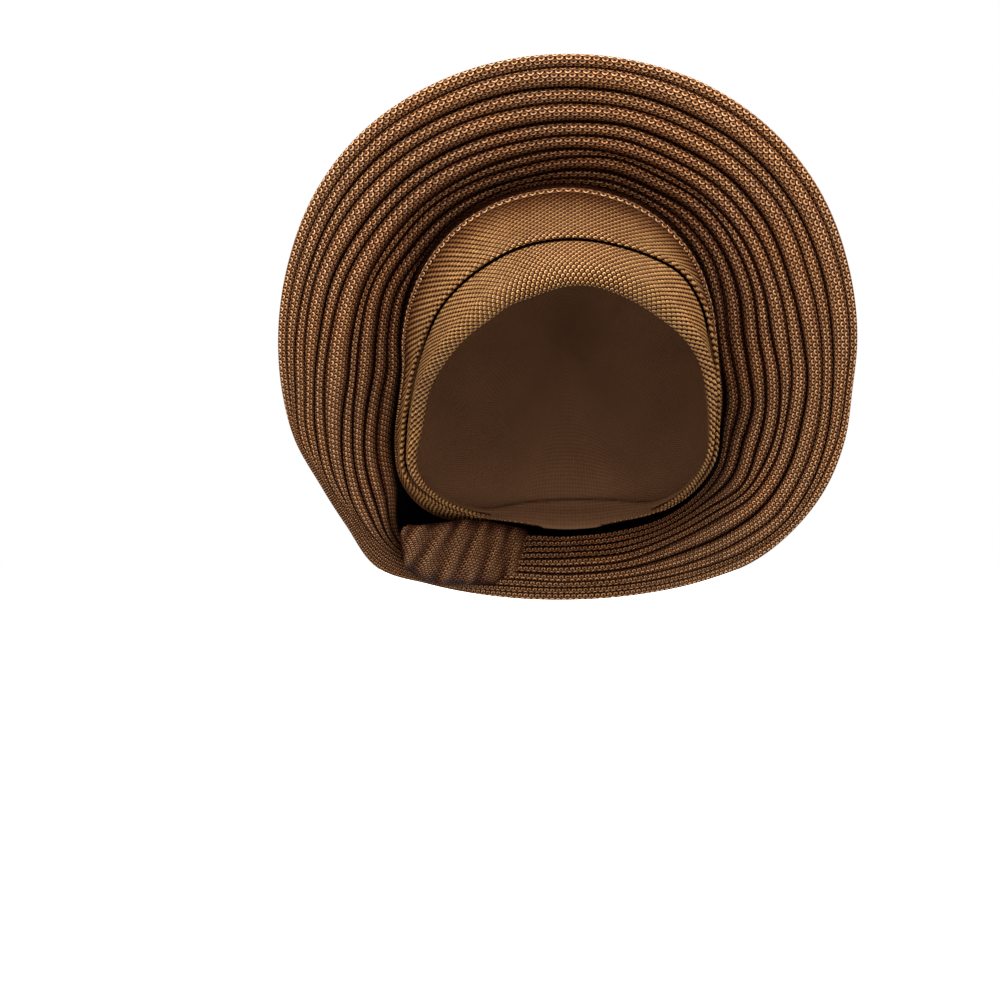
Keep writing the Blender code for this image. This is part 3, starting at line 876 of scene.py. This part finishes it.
def brocade(name, thread, fill, ground, bright_side, small=1.0, lift=1.0, strokes=0.0):
    """Gold thread scales woven in staggered rows on a dark ground, in the cloth's own places.
    bright_side says towards which side of a scale its thread gets a painted highlight and lies
    highest. Where strokes is above 0, the scales run together into slanted strokes on both sides of the
    opening."""
    material, shop = new_material(name)
    cloth = shop.node("ShaderNodeUVMap", {"uv_map": "weave"}).outputs["UV"]
    place = shop.node("ShaderNodeTexCoord").outputs["Object"]
    cloth_x, cloth_y, _ = shop.split(cloth)
    slack = shop.noise(place, *SLACK) - 0.5
    along = (cloth_x * METRE + slack * 0.5) / RING_ALONG + CLOTH_START
    across = (cloth_y * METRE + slack * 0.4) / RING_ACROSS + CLOTH_START

    # Each scale sits in its own diamond; the diamonds of the two sets of rows fill the cloth.
    x_one, y_one = along.fraction() - 0.5, across.fraction() - 0.5
    x_two, y_two = (along + 0.5).fraction() - 0.5, (across + 0.5).fraction() - 0.5
    diamond_one = (abs(x_one) + abs(y_one)) * 2
    second = 1 - diamond_one.below(1.0)
    first = 1 - second
    x = (x_one * first + x_two * second) * RING_ALONG
    y = (y_one * first + y_two * second) * RING_ACROSS
    diamond = diamond_one * first + (2 - diamond_one) * second
    # How far out in its scale a place is, part round and part diamond, in about millimetres.
    reach = ((x * 0.82) ** 2 + (y * 1.18) ** 2).root() * 0.82 * small + diamond * 0.40
    scale_name = shop.node("ShaderNodeCombineXYZ", {}, {
        0: (along + second * 0.5).whole(), 1: (across + second * 0.5).whole(), 2: second})
    chance = shop.number(
        "ShaderNodeTexWhiteNoise", {"noise_dimensions": "3D"}, {"Vector": scale_name.outputs[0]}, "Value")

    # One scale: a raised thread ring with a painted highlight on one side, where its bump is raised too,
    # round a fill with a dark eye.
    high = (x * bright_side[0] + y * bright_side[1]).ramp(*BRIGHT_SIDE)
    disc = 1 - reach.ramp(*FILL_EDGE)
    eye = 1 - ((x * 0.75) ** 2 + (y * 2.0 - 0.2) ** 2).root().ramp(*EYE_EDGE)
    ring = reach.ramp(*RING_INSIDE) * (1 - reach.ramp(*RING_OUTSIDE)) * (LEAST_THREAD + PAINTED_HIGHLIGHT * high)
    dome = 1 - reach.ramp(*SWELL_EDGE)
    if strokes:
        sideways = shop.split(place)[0] * METRE
        left, right = (0 - sideways).ramp(*STROKES_FROM), sideways.ramp(*STROKES_FROM)
        share = (left + right) * strokes
        off_stroke = abs(x + y * (left - right) * (RING_ALONG / RING_ACROSS))
        stroke = (1 - off_stroke.ramp(*STROKE_EDGE)) * STROKE_THREAD
        ring = ring * (1 - share * RING_LEFT_OUT) + stroke * share
        disc = disc * (1 - share) + (1 - off_stroke.ramp(*STROKE_FILL)) * share
        eye = eye * (1 - share)
        dome = dome * (1 - share) + stroke * share

    # The thread's strands and the cloth's clouds and specks; where the painted shade is full, all of it is
    # dim.
    strands = (y * 15.0 + x * 6.0).sine() * 0.5 + 0.5
    cloudy = shop.noise(place, *CLOUDS)
    speck = shop.noise(place, *SPECKS)
    # The painted shade, read from the fold attribute.
    fold = shop.number("ShaderNodeAttribute", {"attribute_name": "fold"}, {}, "Fac")
    lit = 1 - fold.ramp(*SHADE_FROM) * SHADE_DEPTH
    shine = ring * (0.72 + 0.28 * strands) * (0.75 + 0.5 * chance)
    filled = disc * (1 - eye * 0.9) * (0.35 + 0.6 * speck)
    dim = (0.78 + 0.44 * cloudy) * (lit + (1 - lit) * shine.least(1.0) * 0.1)
    base = shop.mixed(filled, (*ground, 1), (*fill, 1))
    threads = shop.mixed(cloudy.ramp(0.35, 0.7), (*thread[0], 1), (*thread[1], 1))
    colour = shop.mixed(shine.least(1.0), base, threads)
    # The painted shade and the clouds take more of the green and the blue away than of the red.
    shade = shop.node("ShaderNodeCombineColor", {}, {0: dim, 1: dim**1.3, 2: dim**1.4}).outputs[0]
    height = dome * 0.45 + ring * 0.35 - eye * 0.3 + strands * ring * 0.1
    bump = shop.node("ShaderNodeBump", {}, {"Strength": 1.0, "Distance": 0.0008 * lift, "Height": height})
    shop.surface({
        "Base Color": shop.mixed(1.0, colour, shade, "MULTIPLY"),
        "Metallic": ring * GOLD_METAL + filled * FILL_METAL,
        "Roughness": 0.55 - ring * 0.18,
        "Normal": bump.outputs["Normal"],
        "Specular IOR Level": 0.05,
    })
    return material


def reverse_side(name, colour):
    """The wrong side of the brocade: dull crossed threads, with the scales faintly showing."""
    material, shop = new_material(name)
    place = shop.node("ShaderNodeTexCoord").outputs["Object"]
    cloth_x, cloth_y, _ = shop.split(shop.node("ShaderNodeUVMap", {"uv_map": "weave"}).outputs["UV"])
    along = cloth_x * METRE / RING_ALONG
    across = cloth_y * METRE / RING_ACROSS
    lattice = ((along + across) * FULL_WAVE).sine() * ((along - across) * FULL_WAVE).sine()
    threads = ((along * 4.0 + across * 3.0) * FULL_WAVE).sine() * 0.5 + 0.5
    cloudy = shop.noise(place, *WRONG_SIDE_CLOUDS)
    tone = (0.76 + 0.03 * threads + 0.24 * lattice.ramp(-0.6, 0.6)) * (0.7 + 0.5 * cloudy)
    height = threads * 0.1 + lattice.ramp(-0.8, 0.8)
    bump = shop.node("ShaderNodeBump", {}, {"Strength": 0.6, "Distance": 0.0003, "Height": height})
    shop.surface({
        "Base Color": shop.mixed(tone.least(1.0), (*[c * 0.3 for c in colour], 1), (*colour, 1)),
        "Roughness": 0.8,
        "Normal": bump.outputs["Normal"],
        "Specular IOR Level": 0.1,
    })
    return material


# ---- the studio ----

FLOOR_SIZE = 40
FLOOR_HEIGHT = -0.43
FLOOR_TONE = (0.86, 0.86, 0.86, 1)
WALL_LIGHT = 0.95
ROOF_LIGHT = 2.85
ROOF_FROM = (0.05, 0.9)
SENSOR = 36.0
FARTHEST_SEEN = 60.0


def studio():
    """A pale floor that throws no light on the wrap, and pale walls that light it from above
    more than from below and look plain white themselves."""
    bpy.ops.object.select_all(action="DESELECT")
    bpy.ops.mesh.primitive_plane_add(size=FLOOR_SIZE, location=(0, 0, 0))
    floor = bpy.context.active_object
    floor.name = "studio_floor"
    floor.data.transform(Matrix.Translation((0, 0, FLOOR_HEIGHT)))
    floor.visible_diffuse = False
    floor.visible_glossy = False
    paint, shop = new_material("floor_paint")
    shop.surface({"Base Color": FLOOR_TONE, "Roughness": 0.9})
    floor.data.materials.append(paint)
    world = bpy.data.worlds.new("studio_walls")
    world.use_nodes = True
    walls = Shop(world.node_tree)
    height = walls.split(walls.node("ShaderNodeTexCoord").outputs["Generated"])[2]
    seen = Number(walls, walls.node("ShaderNodeLightPath").outputs["Is Camera Ray"])
    strength = (WALL_LIGHT + ROOF_LIGHT * height.ramp(*ROOF_FROM)) * (1 - seen) + seen
    back = walls.node("ShaderNodeBackground", {}, {"Color": (1, 1, 1, 1), "Strength": strength})
    walls.node("ShaderNodeOutputWorld", {}, {"Surface": back.outputs[0]})
    bpy.context.scene.world = world


def high_window(name, location, strength, spread):
    """A sun lamp that shines from location towards the origin, softer with more spread."""
    light = bpy.data.lights.new(name, "SUN")
    light.energy = strength
    light.angle = spread
    lamp = bpy.data.objects.new(name, light)
    bpy.context.scene.collection.objects.link(lamp)
    lamp.location = location
    lamp.rotation_euler = (-Vector(location)).to_track_quat("-Z", "Y").to_euler()


def picture_camera():
    """Looks level along Y from EYE, with PICTURE_WIDTH across at PICTURE_DEPTH."""
    data = bpy.data.cameras.new("picture")
    data.sensor_width = SENSOR
    data.lens = SENSOR * (PICTURE_DEPTH - EYE[1]) / PICTURE_WIDTH
    data.clip_end = FARTHEST_SEEN
    camera = bpy.data.objects.new("picture", data)
    bpy.context.scene.collection.objects.link(camera)
    camera.location = Vector(EYE) * MM
    camera.rotation_euler = (np.pi / 2, 0, 0)
    bpy.context.scene.camera = camera


# Colours of the threads, in two tones, of the fill inside a scale and of the ground.
FAN_THREADS = ((1.0, 0.56, 0.265), (0.94, 0.46, 0.19))
CAP_THREADS = ((1.0, 0.60, 0.23), (0.97, 0.52, 0.17))
BACK_THREADS = ((0.96, 0.53, 0.25), (0.86, 0.42, 0.17))
FAN_FILL, CAP_FILL = (0.14, 0.043, 0.014), (0.17, 0.045, 0.011)
FAN_GROUND, CAP_GROUND = (0.008, 0.0010, 0.0006), (0.018, 0.003, 0.001)
WRONG_SIDE = (0.17, 0.078, 0.036)

picture_camera()
studio()
high_window("key_above", (-0.25, -1.0, 1.1), 1.5, 0.4)
bpy.context.scene.view_settings.view_transform = "Standard"

fan_brocade = brocade("fan_brocade", FAN_THREADS, FAN_FILL, FAN_GROUND, (0.1, -1.0))
cap_brocade = brocade(
    "cap_brocade", CAP_THREADS, CAP_FILL, CAP_GROUND, (-0.5, 0.9), small=1.2, lift=0.8, strokes=0.6)
back_brocade = brocade("back_brocade", BACK_THREADS, FAN_FILL, FAN_GROUND, (0.1, -1.0))
wrong_side = reverse_side("wrong_side", WRONG_SIDE)

fan = fan_sheet(fan_brocade, wrong_side)
cap = cap_sheet(cap_brocade, wrong_side)
band = band_sheet(cap_brocade, wrong_side)
back = back_sheet(back_brocade, wrong_side)
tuck = tuck_sheet(fan_brocade, wrong_side)
edge = edge_fold(fan_brocade, wrong_side)
